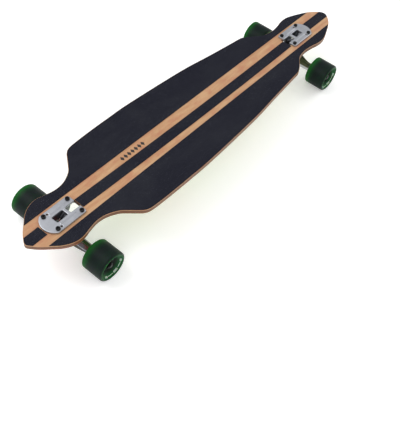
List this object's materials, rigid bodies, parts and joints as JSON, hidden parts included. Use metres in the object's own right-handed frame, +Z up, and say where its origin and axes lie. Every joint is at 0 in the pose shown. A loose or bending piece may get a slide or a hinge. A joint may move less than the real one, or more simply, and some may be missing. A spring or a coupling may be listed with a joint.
{
  "type": "drop-through longboard skateboard",
  "caption": "Drop-through longboard: concave ply deck with striped grip, cast steering trucks on bushings, soft urethane wheels on ball bearings.",
  "frame": {"origin": "on the ground below the middle of the deck's length, on its centre plane, with all wheels standing on Z = 0", "axes": "+X along the deck to the wide nose, +Y to the left of a rider facing the nose, +Z up"},
  "size_m": [1.059, 0.26, 0.1049],
  "materials": {
    "maple_ply": "clear-coated maple plies with a printed underside",
    "grip_tape": "coarse charcoal grit",
    "cast_aluminium": "tumbled casting",
    "polished_aluminium": "satin polished casting",
    "axle_steel": "ground steel",
    "zinc_steel": "dark zinc plating",
    "black_steel": "black oxide",
    "bearing_steel": "polished",
    "black_rubber_seal": "matte",
    "black_urethane": "matte",
    "red_urethane": "translucent gloss",
    "green_urethane": "translucent, satin tread",
    "green_core": "satin"
  },
  "bodies": {
    "board": {"deck": "maple_ply", "grip_left": "grip_tape", "grip_centre": "grip_tape", "grip_right": "grip_tape", "nose_baseplate": "cast_aluminium", "nose_pivot_cup": "black_urethane", "nose_kingpin": "black_steel", "nose_kingpin_nut": "black_steel", "nose_bushing_washers": "zinc_steel", "nose_bushing_boardside": "red_urethane", "nose_bushing_roadside": "red_urethane", "nose_mount_bolts": "black_steel", "nose_mount_nuts": "black_steel", "tail_baseplate": "cast_aluminium", "tail_pivot_cup": "black_urethane", "tail_kingpin": "black_steel", "tail_kingpin_nut": "black_steel", "tail_bushing_washers": "zinc_steel", "tail_bushing_boardside": "red_urethane", "tail_bushing_roadside": "red_urethane", "tail_mount_bolts": "black_steel", "tail_mount_nuts": "black_steel"},
    "nose_truck": {"nose_hanger": "polished_aluminium", "nose_axle": "axle_steel", "nose_axle_nuts": "black_steel", "nose_speed_washers": "axle_steel", "nose_left_bearing_inner_races": "bearing_steel", "nose_left_bearing_spacer": "axle_steel", "nose_right_bearing_inner_races": "bearing_steel", "nose_right_bearing_spacer": "axle_steel"},
    "tail_truck": {"tail_hanger": "polished_aluminium", "tail_axle": "axle_steel", "tail_axle_nuts": "black_steel", "tail_speed_washers": "axle_steel", "tail_left_bearing_inner_races": "bearing_steel", "tail_left_bearing_spacer": "axle_steel", "tail_right_bearing_inner_races": "bearing_steel", "tail_right_bearing_spacer": "axle_steel"},
    "nose_left_wheel": {"nose_left_urethane": "green_urethane", "nose_left_core": "green_core", "nose_left_bearing_outer_races": "bearing_steel", "nose_left_bearing_balls": "bearing_steel", "nose_left_bearing_shields": "black_rubber_seal"},
    "nose_right_wheel": {"nose_right_urethane": "green_urethane", "nose_right_core": "green_core", "nose_right_bearing_outer_races": "bearing_steel", "nose_right_bearing_balls": "bearing_steel", "nose_right_bearing_shields": "black_rubber_seal"},
    "tail_left_wheel": {"tail_left_urethane": "green_urethane", "tail_left_core": "green_core", "tail_left_bearing_outer_races": "bearing_steel", "tail_left_bearing_balls": "bearing_steel", "tail_left_bearing_shields": "black_rubber_seal"},
    "tail_right_wheel": {"tail_right_urethane": "green_urethane", "tail_right_core": "green_core", "tail_right_bearing_outer_races": "bearing_steel", "tail_right_bearing_balls": "bearing_steel", "tail_right_bearing_shields": "black_rubber_seal"}
  },
  "joints": [
    {"name": "nose_steer", "type": "hinge", "parent": "board", "child": "nose_truck", "pos_m": [0.4255, 0, 0.035], "axis": [0.6428, 0, 0.766], "range_deg": [-20, 20], "stiffness_Nm_per_rad": 20, "deforming": ["nose_bushing_boardside", "nose_bushing_roadside"]},
    {"name": "tail_steer", "type": "hinge", "parent": "board", "child": "tail_truck", "pos_m": [-0.3805, 0, 0.035], "axis": [-0.6428, 0, 0.766], "range_deg": [-20, 20], "stiffness_Nm_per_rad": 20, "deforming": ["tail_bushing_boardside", "tail_bushing_roadside"]},
    {"name": "nose_left_roll", "type": "hinge", "parent": "nose_truck", "child": "nose_left_wheel", "pos_m": [0.4255, 0.103, 0.035], "axis": [0, 1, 0], "continuous": true},
    {"name": "nose_right_roll", "type": "hinge", "parent": "nose_truck", "child": "nose_right_wheel", "pos_m": [0.4255, -0.103, 0.035], "axis": [0, 1, 0], "continuous": true},
    {"name": "tail_left_roll", "type": "hinge", "parent": "tail_truck", "child": "tail_left_wheel", "pos_m": [-0.3805, 0.103, 0.035], "axis": [0, 1, 0], "continuous": true},
    {"name": "tail_right_roll", "type": "hinge", "parent": "tail_truck", "child": "tail_right_wheel", "pos_m": [-0.3805, -0.103, 0.035], "axis": [0, 1, 0], "continuous": true}
  ]
}
